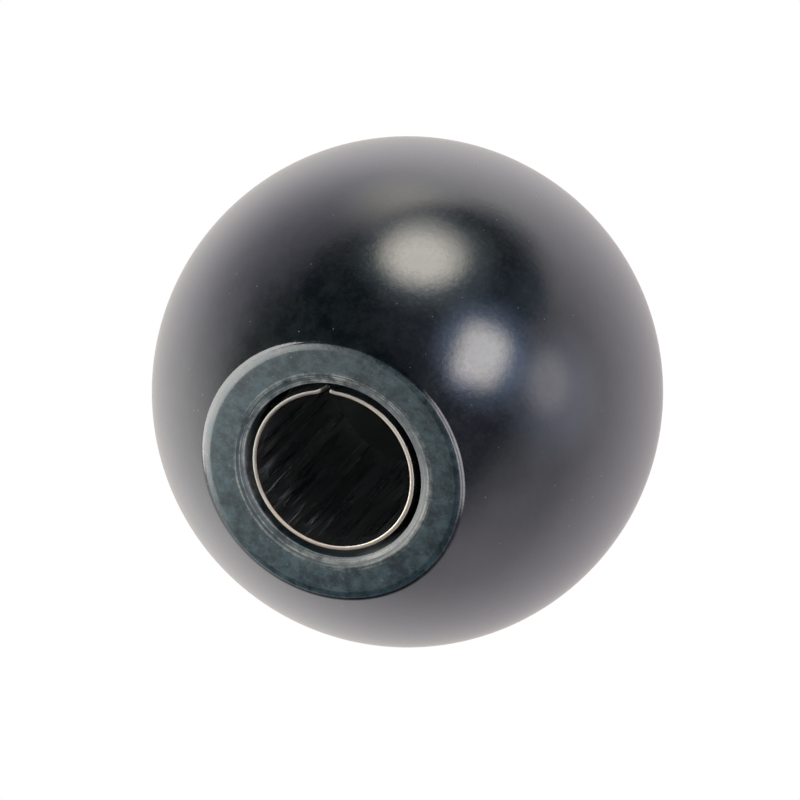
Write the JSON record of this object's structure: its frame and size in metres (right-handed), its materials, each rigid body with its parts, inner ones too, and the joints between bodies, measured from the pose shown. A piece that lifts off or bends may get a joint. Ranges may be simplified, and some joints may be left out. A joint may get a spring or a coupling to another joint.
{
  "type": "ball handle",
  "caption": "Round moulded ball handle with a flat face and a blind bore lined by a split, waved spring ring that clamps a plain rod.",
  "frame": {"origin": "centre of the flat face, on the bore's axis", "axes": "+Z along the bore's axis, from the flat face into the ball; the split of the ring faces -Y"},
  "size_m": [0.032, 0.032, 0.0297],
  "materials": {
    "moulding": "black thermoset, polished ball and matt flat face",
    "spring_steel": "bright cold-rolled strip"
  },
  "bodies": {
    "root": {"ball": "moulding", "clamping_ring": "spring_steel"}
  },
  "joints": []
}
